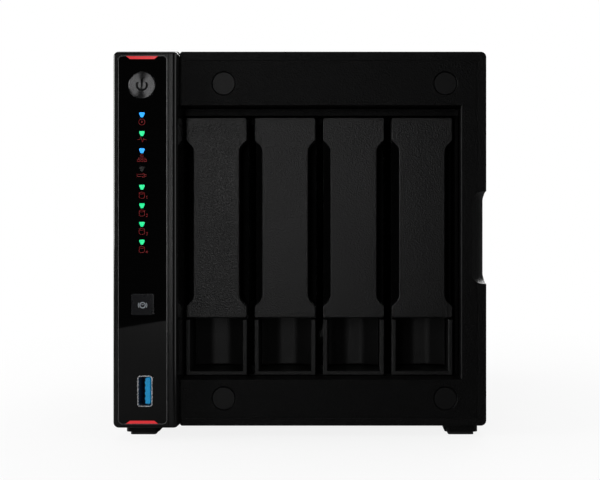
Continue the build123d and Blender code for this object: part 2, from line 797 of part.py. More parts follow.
with BuildPart() as rear_panel:
    panel_x = (left + cover_wall + fit, right - cover_wall - fit)
    panel_z = (body_bottom + cover_wall + fit, top - cover_wall - fit)
    panel_y = (rear_face - rear_sheet, rear_face)
    cut_y = (rear_face - rear_sheet - 1, rear_face + 1)
    block(panel_x, panel_y, panel_z)
    rod(fan_x, fan_z, cut_y, fan_bore, mode=Mode.SUBTRACT)
    for side_x in (-1, 1):
        for side_z in (-1, 1):
            hole_x = fan_x + side_x * fan_hole_pitch / 2
            hole_z = fan_z + side_z * fan_hole_pitch / 2
            rod(hole_x, hole_z, cut_y, 2.3, mode=Mode.SUBTRACT)
    for seat_x, seat_z in panel_screw_seats:
        rod(seat_x, seat_z, cut_y, screw_shank + 0.2, mode=Mode.SUBTRACT)
    for jack_z in lan_heights:
        cut_x = (jack_left - port_gap, board_left + port_gap)
        block(cut_x, cut_y, around(jack_z, jack_size + 2 * port_gap), mode=Mode.SUBTRACT)
    for socket_z in rear_usb_heights:
        cut_x = around(rear_usb_x, usb_width + 2 * port_gap)
        block(cut_x, cut_y, around(socket_z, usb_height + 2 * port_gap), mode=Mode.SUBTRACT)
    cut_x = around(video_x, video_width + 2 * port_gap)
    block(cut_x, cut_y, around(video_height, video_length + 2 * port_gap), mode=Mode.SUBTRACT)
    cut_x = (inlet_left - port_gap, board_left + port_gap)
    block(cut_x, cut_y, around(inlet_height, 13.0 + 2 * port_gap), mode=Mode.SUBTRACT)
    lock_x = around(-70.0, lock_slot[0])
    block(lock_x, cut_y, around(lock_slot_z, lock_slot[1]), mode=Mode.SUBTRACT)
    for row in range(5):
        vent_x = around(60.0, vent_slot[0])
        vent_z = around(14.0 + 3.6 * row, vent_slot[1])
        block((vent_x[0] - 40.0, vent_x[1] - 40.0), cut_y, vent_z, mode=Mode.SUBTRACT)
        block((vent_x[0] - 80.0, vent_x[1] - 80.0), cut_y, vent_z, mode=Mode.SUBTRACT)
save(rear_panel.part, "rear_panel")

with BuildPart() as rear_screws:
    for seat_x, seat_z in panel_screw_seats:
        rod(seat_x, seat_z, (rear_face, rear_face + 1.6), 2.9)
        rod(seat_x, seat_z, (rear_face - 5.0, rear_face), screw_shank)
        with Locations((seat_x, rear_face + 1.2, seat_z)):
            Box(3.0, 1.0, 0.7, mode=Mode.SUBTRACT)
            Box(0.7, 1.0, 3.0, mode=Mode.SUBTRACT)
save(rear_screws.part, "rear_screws")


# ---------------------------------------------------------------- fan
fan_screw_reach = 4.0
hub_radius = 19.5
motor_radius = 17.0
shaft_radius = 1.5
shaft_clearance = 0.06
blade_count = 7
blade_tip = 56.5
strut = 3.0

fan_corners = [
    (fan_x + sx * fan_hole_pitch / 2, fan_z + sz * fan_hole_pitch / 2) for sx in (-1, 1) for sz in (-1, 1)
]

with BuildPart() as fan_frame:
    block(around(fan_x, fan_size), (fan_front, fan_back), around(fan_z, fan_size))
    fillet(fan_frame.edges().filter_by(Axis.Y), 4.0)
    rod(fan_x, fan_z, (fan_front - 1, fan_back + 1), fan_bore, mode=Mode.SUBTRACT)
    for corner_x, corner_z in fan_corners:
        rod(corner_x, corner_z, (fan_front - 1, fan_back + 1), 2.15, mode=Mode.SUBTRACT)
    with Locations((fan_x, fan_back - strut / 2, fan_z)):
        Box(2 * fan_bore + 2, strut, 4.0, rotation=(0, 30, 0))
        Box(2 * fan_bore + 2, strut, 4.0, rotation=(0, 120, 0))
    rod(fan_x, fan_z, (fan_back - strut, fan_back), hub_radius)
    rod(fan_x, fan_z, (fan_back - 14.0, fan_back), 5.0)
    bearing_radius = shaft_radius + shaft_clearance
    rod(fan_x, fan_z, (fan_back - 15.0, fan_back - 1.0), bearing_radius, mode=Mode.SUBTRACT)
save(fan_frame.part, "fan_frame")

with BuildPart(facing_front((fan_front + fan_back) / 2 - 1.5)) as fan_blades:
    with Locations((fan_x, fan_z)):
        with PolarLocations((hub_radius + blade_tip) / 2, blade_count):
            Box(blade_tip - hub_radius + 6.0, 24.0, 1.6, rotation=(38, 0, 0))
        Cylinder(blade_tip, 15.0, mode=Mode.INTERSECT)

with BuildPart() as fan_rotor:
    add(fan_blades.part)
    rod(fan_x, fan_z, (fan_front + 1.5, fan_back - strut - 0.6), hub_radius)
    rod(fan_x, fan_z, (fan_front + 3.5, fan_back), motor_radius, mode=Mode.SUBTRACT)
    rod(fan_x, fan_z, (fan_front + 3.0, fan_back - 1.5), shaft_radius)
save(fan_rotor.part, "fan_rotor")

guard_thickness = 1.4
guard_ring = 1.6

with BuildPart() as fan_guard:
    guard_back = rear_face + guard_thickness
    with BuildSketch(facing_front(guard_back)):
        with Locations((fan_x, fan_z)):
            for ring_radius in range(57, 12, -9):
                Circle(ring_radius + guard_ring / 2)
                Circle(ring_radius - guard_ring / 2, mode=Mode.SUBTRACT)
        for angle in (45, 135):
            with Locations(Location((fan_x, fan_z), angle)):
                Rectangle(fan_hole_pitch * 2 ** 0.5, guard_ring * 1.2)
        with Locations((fan_x, fan_z)):
            Circle(8.0)
        with Locations(*fan_corners):
            Circle(4.2)
        with Locations(*fan_corners):
            Circle(2.3, mode=Mode.SUBTRACT)
    extrude(amount=guard_thickness)
save(fan_guard.part, "fan_guard")

with BuildPart() as fan_screws:
    for corner_x, corner_z in fan_corners:
        rod(corner_x, corner_z, (guard_back, back - 0.1), 3.2)
        rod(corner_x, corner_z, (fan_back - fan_screw_reach, guard_back), 2.0)
save(fan_screws.part, "fan_screws")


# ---------------------------------------------------------------- feet
foot_centres = [
    (side * foot_x, middle_y)
    for side in (-1, 1)
    for middle_y in (foot_front_y + foot_size / 2, foot_rear_y - foot_size / 2)
]

with BuildPart() as feet:
    for centre_x, centre_y in foot_centres:
        block(around(centre_x, foot_size), around(centre_y, foot_size), (pad_height, body_bottom))
    fillet(feet.edges().filter_by(Axis.Z), 2.0)
save(feet.part, "feet")

with BuildPart() as foot_pads:
    for centre_x, centre_y in foot_centres:
        block(around(centre_x, pad_size), around(centre_y, pad_size), (0, pad_height))
    fillet(foot_pads.edges().filter_by(Axis.Z), 1.2)
save(foot_pads.part, "foot_pads")
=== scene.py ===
"""Looks of a desktop network attached storage: materials, fine detail, stage, light and camera.

Everything is in metres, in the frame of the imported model: front towards -Y, +Z up.
"""
import json
import math

import bmesh
import bpy
from mathutils import Matrix, Vector


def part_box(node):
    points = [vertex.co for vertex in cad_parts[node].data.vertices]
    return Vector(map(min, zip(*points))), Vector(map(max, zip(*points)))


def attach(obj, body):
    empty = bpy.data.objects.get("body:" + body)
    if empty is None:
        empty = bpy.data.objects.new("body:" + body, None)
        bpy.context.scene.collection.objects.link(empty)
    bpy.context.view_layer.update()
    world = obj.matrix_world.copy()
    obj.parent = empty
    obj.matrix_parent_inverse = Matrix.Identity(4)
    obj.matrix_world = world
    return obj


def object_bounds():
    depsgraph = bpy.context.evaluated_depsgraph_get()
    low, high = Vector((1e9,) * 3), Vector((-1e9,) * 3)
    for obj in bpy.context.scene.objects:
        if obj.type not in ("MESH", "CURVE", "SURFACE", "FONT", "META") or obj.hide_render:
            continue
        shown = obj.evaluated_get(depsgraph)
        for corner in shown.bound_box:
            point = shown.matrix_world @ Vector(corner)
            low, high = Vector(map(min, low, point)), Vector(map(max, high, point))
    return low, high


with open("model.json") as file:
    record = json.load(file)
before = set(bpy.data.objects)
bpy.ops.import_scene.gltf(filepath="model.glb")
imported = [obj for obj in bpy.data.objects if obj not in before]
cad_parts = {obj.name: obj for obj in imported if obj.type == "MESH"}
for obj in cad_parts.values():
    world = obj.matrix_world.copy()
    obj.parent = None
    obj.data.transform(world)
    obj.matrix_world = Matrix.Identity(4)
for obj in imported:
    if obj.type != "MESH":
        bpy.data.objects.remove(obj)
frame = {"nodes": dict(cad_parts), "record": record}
cad_low, cad_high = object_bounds()

MM = 0.001
strip_low, strip_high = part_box("strip_panel")
power_low, power_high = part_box("power_button")
copy_low, copy_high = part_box("copy_button")
bezel_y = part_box("front_bezel")[0].y
strip_y = cad_low.y
strip_x = (power_low.x + power_high.x) / 2
power_z = (power_low.z + power_high.z) / 2
BAYS = range(1, 5)

CAMERA_X = 0.0216
CAMERA_Z = 0.0985
CAMERA_BACK = 0.5
FLOOR_BOUNCE = 0.18
FLOOR_REACH = 12.0
SHARPEST_MITRE = 0.4


# ---------------------------------------------------------------- camera
def add_camera():
    """Looks straight along +Y from half a metre in front of the bezel, right of the middle."""
    data = bpy.data.cameras.new("camera")
    data.sensor_width = 36.0
    data.lens = 66.0
    data.shift_x = -0.0817
    data.shift_y = -0.0333
    data.clip_start = 0.01
    camera = bpy.data.objects.new("camera", data)
    camera.location = (CAMERA_X, bezel_y - CAMERA_BACK, CAMERA_Z)
    camera.rotation_euler = (math.pi / 2, 0, 0)
    bpy.context.collection.objects.link(camera)
    bpy.context.scene.camera = camera


# ---------------------------------------------------------------- node helpers
def add_node(tree, kind, inputs=(), **settings):
    """A shader node with its settings and input values."""
    made = tree.nodes.new(kind)
    for name, value in settings.items():
        setattr(made, name, value)
    for name, value in dict(inputs).items():
        made.inputs[name].default_value = value
    return made


def link(tree, source, target):
    tree.links.new(source, target)


def grey(value):
    return (value, value, value * 1.02, 1.0)


def scaled(colour, factor):
    return tuple(min(1.0, c * factor) for c in colour[:3]) + (1.0,)


def base_material(name, colour, roughness, **sockets):
    """A Principled material with its constants set on the shader's own sockets."""
    material = bpy.data.materials.new(name)
    material.use_nodes = True
    shader = material.node_tree.nodes["Principled BSDF"]
    shader.inputs["Base Color"].default_value = colour
    shader.inputs["Roughness"].default_value = roughness
    for socket, value in sockets.items():
        shader.inputs[socket.replace("_", " ")].default_value = value
    return material, shader


def object_coords(tree, scale=(1.0, 1.0, 1.0)):
    """Object coordinates, stretched by scale."""
    coords = add_node(tree, "ShaderNodeTexCoord")
    mapping = add_node(tree, "ShaderNodeMapping", {"Scale": scale})
    link(tree, coords.outputs["Object"], mapping.inputs["Vector"])
    return mapping.outputs["Vector"]


def noise(tree, vector, scale, detail=3.0, roughness=0.55):
    inputs = {"Scale": scale, "Detail": detail, "Roughness": roughness}
    made = add_node(tree, "ShaderNodeTexNoise", inputs)
    link(tree, vector, made.inputs["Vector"])
    return made.outputs["Fac"]


def remap(tree, value, low, high, source=(0.3, 0.7)):
    made = add_node(
        tree,
        "ShaderNodeMapRange",
        {"From Min": source[0], "From Max": source[1], "To Min": low, "To Max": high},
    )
    link(tree, value, made.inputs["Value"])
    return made.outputs["Result"]


def two_tone(tree, value, low_colour, high_colour):
    """A colour that runs from one to the other as value goes from 0.3 to 0.7."""
    ramp = add_node(tree, "ShaderNodeValToRGB")
    ramp.color_ramp.elements[0].position = 0.3
    ramp.color_ramp.elements[0].color = low_colour
    ramp.color_ramp.elements[1].position = 0.7
    ramp.color_ramp.elements[1].color = high_colour
    link(tree, value, ramp.inputs["Fac"])
    return ramp.outputs["Color"]


def tint(tree, shader, colour, value, dark, light):
    """Base colour that runs between two shades of one colour as value rises."""
    colour_out = two_tone(tree, value, scaled(colour, dark), scaled(colour, light))
    link(tree, colour_out, shader.inputs["Base Color"])


def bump(tree, shader, height, strength, distance, under=None):
    """A bump that feeds the shader, over another bump if one is given."""
    made = add_node(tree, "ShaderNodeBump", {"Strength": strength, "Distance": distance})
    link(tree, height, made.inputs["Height"])
    if under is not None:
        link(tree, under, made.inputs["Normal"])
    link(tree, made.outputs["Normal"], shader.inputs["Normal"])
    return made.outputs["Normal"]


# ---------------------------------------------------------------- materials
def grained_plastic(name, colour, roughness, grain, depth, specular=0.35, coat=0.0):
    """Moulded plastic with a fine spark-eroded grain, faint mottling and uneven sheen."""
    material, shader = base_material(
        name, colour, roughness, Specular_IOR_Level=specular, Coat_Weight=coat
    )
    shader.inputs["Coat Roughness"].default_value = 0.1
    tree = material.node_tree
    coords = object_coords(tree)
    mottling = noise(tree, coords, 60.0, 4.0)
    tint(tree, shader, colour, mottling, 0.93, 1.08)
    handled = noise(tree, coords, 35.0, 5.0)
    sheen = remap(tree, handled, roughness - 0.015, roughness + 0.025)
    link(tree, sheen, shader.inputs["Roughness"])
    cells = add_node(
        tree, "ShaderNodeTexVoronoi", {"Scale": grain, "Randomness": 1.0}, feature="SMOOTH_F1"
    )
    link(tree, coords, cells.inputs["Vector"])
    coarse = bump(tree, shader, cells.outputs["Distance"], 0.55, depth)
    bump(tree, shader, noise(tree, coords, grain * 2.3, 2.0), 0.35, depth * 0.6, under=coarse)
    return material


def polished_plastic(name, colour, roughness=0.06, specular=0.5, coat=0.0, emission=None, strength=0.0):
    """Gloss plastic with hairline polish marks too faint to see square on."""
    material, shader = base_material(
        name, colour, roughness, Specular_IOR_Level=specular, Coat_Weight=coat
    )
    tree = material.node_tree
    coords = object_coords(tree)
    haze = noise(tree, coords, 90.0, 6.0, 0.7)
    link(tree, remap(tree, haze, roughness * 0.7, roughness * 1.5), shader.inputs["Roughness"])
    bump(tree, shader, noise(tree, coords, 45.0, 2.0), 0.015, 0.0004)
    if emission:
        shader.inputs["Emission Color"].default_value = emission
        shader.inputs["Emission Strength"].default_value = strength
    return material


def brushed_metal(name, colour, roughness, stretch, grain=900.0):
    """Metal with fine lines along the axis that stretch flattens."""
    material, shader = base_material(name, colour, roughness, Metallic=1.0)
    tree = material.node_tree
    lines = noise(tree, object_coords(tree, stretch), grain, 4.0, 0.6)
    tint(tree, shader, colour, lines, 0.9, 1.08)
    link(tree, remap(tree, lines, roughness * 0.85, roughness * 1.2), shader.inputs["Roughness"])
    bump(tree, shader, lines, 0.06, 0.00004)
    return material


def spun_metal(name, colour, centre):
    """Metal turned on a lathe about an axis along Y: rings about the centre, radial glint."""
    material, shader = base_material(
        name, colour, 0.22, Metallic=1.0, Anisotropic=0.97, Anisotropic_Rotation=0.25
    )
    tree = material.node_tree
    coords = add_node(tree, "ShaderNodeTexCoord")
    shift = add_node(tree, "ShaderNodeMapping", {"Location": (-centre[0], 0.0, -centre[1])})
    link(tree, coords.outputs["Object"], shift.inputs["Vector"])
    split = add_node(tree, "ShaderNodeSeparateXYZ")
    link(tree, shift.outputs["Vector"], split.inputs["Vector"])
    flat = add_node(tree, "ShaderNodeCombineXYZ")
    link(tree, split.outputs["X"], flat.inputs["X"])
    link(tree, split.outputs["Z"], flat.inputs["Y"])
    radius = add_node(tree, "ShaderNodeVectorMath", operation="LENGTH")
    link(tree, flat.outputs["Vector"], radius.inputs[0])
    rings = add_node(tree, "ShaderNodeTexNoise", {"Scale": 5200.0, "Detail": 3.0}, noise_dimensions="1D")
    link(tree, radius.outputs["Value"], rings.inputs["W"])
    ring_value = rings.outputs["Fac"]
    tint(tree, shader, colour, ring_value, 0.75, 1.25)
    bump(tree, shader, ring_value, 0.05, 0.00001)
    tangent = add_node(tree, "ShaderNodeTangent", direction_type="RADIAL", axis="Y")
    link(tree, tangent.outputs["Tangent"], shader.inputs["Tangent"])
    return material


def cast_metal(name, colour):
    """Die-cast aluminium: pebbly skin and slight darkening in patches."""
    material, shader = base_material(name, colour, 0.42, Metallic=1.0)
    tree = material.node_tree
    coords = object_coords(tree)
    patches = noise(tree, coords, 55.0, 5.0)
    tint(tree, shader, colour, patches, 0.93, 1.05)
    link(tree, remap(tree, patches, 0.39, 0.46), shader.inputs["Roughness"])
    bump(tree, shader, noise(tree, coords, 2200.0, 3.0), 0.3, 0.00012)
    return material


def powder_coat(name, colour, specular):
    """Powder-coated steel with orange peel."""
    material, shader = base_material(name, colour, 0.45, Specular_IOR_Level=specular)
    tree = material.node_tree
    coords = object_coords(tree)
    peel = noise(tree, coords, 1100.0, 2.0)
    mottling = noise(tree, coords, 70.0, 4.0)
    tint(tree, shader, colour, mottling, 0.85, 1.2)
    link(tree, remap(tree, mottling, 0.4, 0.55), shader.inputs["Roughness"])
    bump(tree, shader, peel, 0.35, 0.00012)
    return material


def circuit_board(name):
    """Solder mask over copper tracks: a green board with lighter straight runs."""
    material, shader = base_material(name, (0.01, 0.09, 0.04, 1.0), 0.3)
    tree = material.node_tree
    coords = object_coords(tree)
    tracks = add_node(
        tree, "ShaderNodeTexVoronoi", {"Scale": 420.0, "Randomness": 0.35}, distance="MANHATTAN"
    )
    link(tree, coords, tracks.inputs["Vector"])
    track_green = (0.015, 0.16, 0.07, 1.0)
    mask_green = (0.008, 0.08, 0.035, 1.0)
    colour_out = two_tone(tree, tracks.outputs["Distance"], track_green, mask_green)
    link(tree, colour_out, shader.inputs["Base Color"])
    bump(tree, shader, tracks.outputs["Distance"], 0.2, 0.00005)
    return material


def rubber(name, colour, specular):
    """Matt black rubber or felt, with lighter dust in patches."""
    material, shader = base_material(name, colour, 0.85, Specular_IOR_Level=specular)
    tree = material.node_tree
    coords = object_coords(tree)
    dust = noise(tree, coords, 260.0, 6.0, 0.7)
    tint(tree, shader, colour, dust, 1.0, 2.2)
    bump(tree, shader, noise(tree, coords, 1500.0), 0.4, 0.00015)
    return material


def make_materials():
    """One material for each slot of the record, and a few for the added pieces."""
    made = {
        # Grained plastics: roughness, grains per metre, grain depth, specular and coat.
        "cover_plastic": grained_plastic("cover_plastic", grey(0.003), 0.42, 1700.0, 0.00032, 0.14),
        "bezel_plastic": grained_plastic("bezel_plastic", grey(0.003), 0.4, 1700.0, 0.00032, 0.12),
        "strip_plastic": grained_plastic("strip_plastic", grey(0.005), 0.26, 3200.0, 0.00002, 0.12, 0.7),
        "lever_plastic": grained_plastic("lever_plastic", grey(0.005), 0.32, 1900.0, 0.00022, 0.34),
        "tray_plastic": grained_plastic("tray_plastic", grey(0.006), 0.44, 2600.0, 0.00012, 0.34),
        "black_plastic": grained_plastic("black_plastic", grey(0.01), 0.4, 2600.0, 0.0001),
        "magnet_steel": grained_plastic("magnet_steel", grey(0.005), 0.4, 3200.0, 0.00005, 0.2),
        # Gloss plastics: roughness, specular and coat.
        "gloss_panel": polished_plastic("gloss_panel", grey(0.0006), 0.02, 0.5),
        "button_plastic": polished_plastic("button_plastic", (0.007, 0.0075, 0.009, 1.0), 0.3, 0.1, 1.0),
        "dark_green_lens": polished_plastic("dark_green_lens", (0.01, 0.12, 0.03, 1.0), 0.2),
        "dark_lens": polished_plastic("dark_lens", grey(0.006), 0.2, 0.4),
        "white_plastic": polished_plastic("white_plastic", (0.75, 0.75, 0.7, 1.0), 0.3),
        # Painted highlight: pale grey frame that stands in for the highlight on the glossy panel's
        # bevelled edge.
        "edge_highlight": polished_plastic("edge_highlight", grey(0.09), 0.25, 0.6),
        # Painted highlight: lighter grey strip standing in for the highlight on the chamfer of the bay
        # opening.
        "chamfer_highlight": polished_plastic("chamfer_highlight", grey(0.026), 0.35, 0.5),
        "usb_liner": polished_plastic("usb_liner", (0.002, 0.012, 0.035, 1.0), 0.35, 0.3),
        "icon_white": polished_plastic("icon_white", (0.42, 0.46, 0.5, 1.0), 0.4),
        "icon_black": polished_plastic("icon_black", grey(0.002), 0.5, 0.2),
        # Gloss plastics that glow a little: the same, then the glow's colour and strength. The blue and
        # green lenses are lit lamps; the glow of the red accent, the blue USB tongue and the red icons
        # is painted light.
        "red_plastic": polished_plastic(
            "red_plastic", (0.8, 0.035, 0.045, 1.0), 0.15, 0.5, 0.3, (1.0, 0.05, 0.06, 1.0), 0.35
        ),
        "blue_lens": polished_plastic(
            "blue_lens", (0.02, 0.3, 0.8, 1.0), 0.2, 0.5, 0.2, (0.02, 0.35, 1.0, 1.0), 1.1
        ),
        "green_lens": polished_plastic(
            "green_lens", (0.01, 0.6, 0.25, 1.0), 0.2, 0.5, 0.2, (0.01, 0.8, 0.28, 1.0), 0.9
        ),
        # Painted glow on the blue USB tongue, which is no lamp.
        "usb_blue": polished_plastic(
            "usb_blue", (0.01, 0.4, 0.8, 1.0), 0.3, 0.5, 0.0, (0.01, 0.36, 0.8, 1.0), 0.22
        ),
        # Painted glow on the printed red icons, which are no lamp.
        "icon_red": polished_plastic(
            "icon_red", (0.25, 0.01, 0.012, 1.0), 0.4, 0.3, 0.0, (0.9, 0.03, 0.04, 1.0), 0.07
        ),
        # Brushed metals: roughness, then the stretch that lays the lines along one axis.
        "bright_steel": brushed_metal("bright_steel", grey(0.62), 0.26, (1.0, 0.08, 1.0)),
        "screw_steel": brushed_metal("screw_steel", grey(0.3), 0.3, (0.2, 1.0, 1.0)),
        "black_screw": brushed_metal("black_screw", grey(0.012), 0.4, (0.2, 1.0, 1.0)),
        "brass_posts": brushed_metal("brass_posts", (0.72, 0.52, 0.2, 1.0), 0.28, (0.1, 1.0, 1.0)),
        "gold_contact": brushed_metal("gold_contact", (0.9, 0.68, 0.3, 1.0), 0.2, (1.0, 0.1, 1.0)),
        "sink_aluminium": brushed_metal("sink_aluminium", grey(0.6), 0.35, (1.0, 1.0, 0.05)),
        "brushed_button": spun_metal("brushed_button", grey(0.085), (strip_x, power_z)),
        "drive_casting": cast_metal("drive_casting", grey(0.34)),
        # Painted steel, rubber and felt: specular.
        "sheet_steel": powder_coat("sheet_steel", grey(0.004), 0.06),
        "rear_metal": powder_coat("rear_metal", grey(0.016), 0.45),
        "guard_wire": powder_coat("guard_wire", grey(0.02), 0.45),
        "foot_rubber": rubber("foot_rubber", grey(0.018), 0.25),
        # Painted shade: the matt black sheet on each carrier plate, standing in for the shade in the
        # slots beside the levers.
        "black_felt": rubber("black_felt", grey(0.003), 0.05),
        "circuit_board": circuit_board("circuit_board"),
    }
    return made


def dress_nodes(materials):
    """Give every CAD node the finished material of its slot."""
    for row in frame["record"]["subparts"]:
        node = frame["nodes"][row["node"]]
        node.data.materials.clear()
        node.data.materials.append(materials[row["material_slot"]])


# ---------------------------------------------------------------- stage, light
def stage_sheet(name, corners, material):
    """A flat sheet of the stage, from its corners."""
    mesh = bpy.data.meshes.new(name)
    mesh.from_pydata(corners, [], [tuple(range(len(corners)))])
    mesh.materials.append(material)
    sheet = bpy.data.objects.new(name, mesh)
    bpy.context.collection.objects.link(sheet)
    return sheet


def paper(name, value):
    """Matt paper with a faint fibre."""
    colour = (value, value, value, 1.0)
    material, shader = base_material(name, colour, 0.9, Specular_IOR_Level=0.1)
    tree = material.node_tree
    fibre = noise(tree, object_coords(tree), 40.0, 6.0)
    tint(tree, shader, colour, fibre, 0.98, 1.01)
    return material


def add_floor():
    """Pale floor that turns to plain white far out, and the dim sheet that the object mirrors."""
    material = paper("floor_paper", 0.9)
    tree = material.node_tree
    shader = tree.nodes["Principled BSDF"]
    distance = add_node(tree, "ShaderNodeVectorMath", operation="LENGTH")
    link(tree, object_coords(tree), distance.inputs[0])
    far = remap(tree, distance.outputs["Value"], 0.86, 1.0, source=(0.1, 0.45))
    glow = add_node(tree, "ShaderNodeEmission", {"Color": (1.0, 1.0, 1.0, 1.0), "Strength": 1.0})
    mix = add_node(tree, "ShaderNodeMixShader")
    link(tree, far, mix.inputs["Fac"])
    link(tree, shader.outputs["BSDF"], mix.inputs[1])
    link(tree, glow.outputs["Emission"], mix.inputs[2])
    link(tree, mix.outputs["Shader"], tree.nodes["Material Output"].inputs["Surface"])
    reach = FLOOR_REACH
    square = [(-reach, -reach, 0.0), (reach, -reach, 0.0), (reach, reach, 0.0), (-reach, reach, 0.0)]
    seen = stage_sheet("floor", square, material)
    seen.visible_diffuse = False
    seen.visible_glossy = False
    seen.visible_shadow = False

    # In front of the bezel this sheet is a wedge between a slanting left edge and the lane.
    under = -1.0 * MM
    near_left = Vector((-0.19, -0.633, under))
    near_right = Vector((-0.158, -0.712, under))
    along = (near_right - near_left).normalized()
    lane = Vector((-0.02, bezel_y - 0.02, under))
    side, front, back = 8.0, -1.0, 9.0
    outline = [near_left - along * 1.2, near_left + along * 0.4, (lane.x, front, under), lane]
    outline += [(side, lane.y, under), (side, back, under), (-side, back, under), (-side, 0.2, under)]
    felt = stage_sheet("floor_mirrored", outline, paper("floor_dim", FLOOR_BOUNCE))
    felt.visible_camera = False


def area_light(name, place, target, size, watts):
    data = bpy.data.lights.new(name, "AREA")
    data.shape = "RECTANGLE"
    data.size, data.size_y = size
    data.energy = watts
    lamp = bpy.data.objects.new(name, data)
    lamp.location = place
    aim = Vector(target) - Vector(place)
    lamp.rotation_euler = aim.to_track_quat("-Z", "Y").to_euler()
    bpy.context.collection.objects.link(lamp)


def add_lights():
    """A slim key light beside the camera, soft lights left and right, one overhead and two behind."""
    middle = (0.0, -0.05, 0.09)
    # Each line: name, place, target, width and height, watts.
    area_light("key_light", (-0.107, -0.76, 0.17), (-0.03, bezel_y, 0.11), (0.08, 0.4), 0.6)
    area_light("left_light", (-1.15, -0.25, 0.35), middle, (1.0, 0.6), 14.0)
    area_light("side_light", (1.4, 0.3, 0.7), middle, (0.5, 0.9), 0.8)
    area_light("fill_light", (1.0, -0.6, 0.3), middle, (0.5, 0.9), 2.0)
    area_light("rim_light", (-0.9, 0.5, 0.15), (-0.08, bezel_y, 0.09), (0.8, 0.6), 2.5)
    area_light("top_light", (0.0, 0.25, 1.7), middle, (1.6, 1.2), 13.0)
    area_light("back_light", (0.4, 1.6, 0.8), middle, (1.2, 0.8), 18.0)


def add_world():
    """White backdrop for the camera, dim surroundings for everything else."""
    world = bpy.data.worlds.new("studio")
    world.use_nodes = True
    tree = world.node_tree
    tree.nodes.clear()
    seen = add_node(tree, "ShaderNodeBackground", {"Color": (1.0, 1.0, 1.0, 1.0), "Strength": 1.0})
    felt = add_node(tree, "ShaderNodeBackground", {"Color": (1.0, 1.0, 1.0, 1.0), "Strength": 0.02})
    ray = add_node(tree, "ShaderNodeLightPath")
    mix = add_node(tree, "ShaderNodeMixShader")
    output = add_node(tree, "ShaderNodeOutputWorld")
    link(tree, ray.outputs["Is Camera Ray"], mix.inputs["Fac"])
    link(tree, felt.outputs["Background"], mix.inputs[1])
    link(tree, seen.outputs["Background"], mix.inputs[2])
    link(tree, mix.outputs["Shader"], output.inputs["Surface"])
    bpy.context.scene.world = world


# ---------------------------------------------------------------- mesh helpers
def stroke(bm, points, width, y_front, thickness, closed=False):
    """A line of even width through (x, z) points, as a flat ribbon with mitred corners."""
    count = len(points)
    rows = []
    for i, point in enumerate(points):
        here = Vector(point)
        before = Vector(points[i - 1]) if closed or i > 0 else None
        after = Vector(points[(i + 1) % count]) if closed or i < count - 1 else None
        into = (here - before).normalized() if before is not None else (after - here).normalized()
        out = (after - here).normalized() if after is not None else into
        across = Vector((-into.y - out.y, into.x + out.x)).normalized()
        half = width / 2 / max(SHARPEST_MITRE, across.dot(Vector((-into.y, into.x))))
        corners = []
        for side in (half, -half):
            edge = here + across * side
            corners.append(bm.verts.new((edge.x, y_front, edge.y)))
            corners.append(bm.verts.new((edge.x, y_front + thickness, edge.y)))
        rows.append(corners)
    pairs = list(zip(rows, rows[1:])) + ([(rows[-1], rows[0])] if closed else [])
    for (a0, a1, a2, a3), (b0, b1, b2, b3) in pairs:
        bm.faces.new((a0, a2, b2, b0))
        bm.faces.new((a1, b1, b3, a3))
        bm.faces.new((a0, b0, b1, a1))
        bm.faces.new((a2, a3, b3, b2))
    if not closed:
        a0, a1, a2, a3 = rows[0]
        bm.faces.new((a0, a1, a3, a2))
        b0, b1, b2, b3 = rows[-1]
        bm.faces.new((b0, b2, b3, b1))


def arc(centre, radius, start, end, steps=20):
    """Points along an arc, angles in degrees from +X towards +Z."""
    turns = [math.radians(start + (end - start) * i / steps) for i in range(steps + 1)]
    return [(centre[0] + radius * math.cos(t), centre[1] + radius * math.sin(t)) for t in turns]


def circle(centre, radius, steps=28):
    return arc(centre, radius, 0, 360, steps)[:-1]


def rounded_outline(low, high, radius, steps=6):
    """Closed outline of a rectangle with round corners, from its lowest and highest (x, z)."""
    (x0, z0), (x1, z1) = low, high
    turns = [((x1 - radius, z1 - radius), 0), ((x0 + radius, z1 - radius), 90)]
    turns += [((x0 + radius, z0 + radius), 180), ((x1 - radius, z0 + radius), 270)]
    points = []
    for centre, start in turns:
        points += arc(centre, radius, start, start + 90, steps)
    return points


def slab(bm, low, high):
    """An upright box between two corners."""
    middle = (Vector(low) + Vector(high)) / 2
    size = Vector(high) - Vector(low)
    matrix = Matrix.Translation(middle) @ Matrix.Diagonal((*size, 1.0))
    bmesh.ops.create_cube(bm, size=1.0, matrix=matrix)


def finish_piece(name, bm, look, body, bevel=0.0):
    """Turn a bmesh into a piece that rides on a body, with the material called look."""
    bmesh.ops.recalc_face_normals(bm, faces=bm.faces[:])
    mesh = bpy.data.meshes.new(name)
    bm.to_mesh(mesh)
    bm.free()
    piece = bpy.data.objects.new(name, mesh)
    bpy.context.collection.objects.link(piece)
    mesh.materials.append(materials[look])
    if bevel:
        edge = piece.modifiers.new("edge", "BEVEL")
        edge.width = bevel
        edge.segments = 2
        edge.limit_method = "ANGLE"
    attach(piece, body)
    return piece


# ---------------------------------------------------------------- control strip details
ICON_DEPTH = 0.04 * MM
ICON_LINE = 0.17 * MM
STATUS_Z = 142.4 * MM
ACTIVITY_Z = 134.5 * MM
NETWORK_Z = 126.2 * MM
PLUG_Z = 118.5 * MM
DISK_Z = (109.6 * MM, 101.6 * MM, 93.4 * MM, 85.3 * MM)
COPY_Z = 60.4 * MM
icon_y = strip_low.y - 0.02 * MM


def shifted(points, x, z):
    """Points given in millimetres about an icon's middle, in place on the strip."""
    return [(x + px * MM, z + pz * MM) for px, pz in points]


def icon(bm, points, z, x=strip_x, closed=False):
    """One line of an icon whose middle is at height z on the strip."""
    stroke(bm, shifted(points, x, z), ICON_LINE, icon_y, ICON_DEPTH, closed)


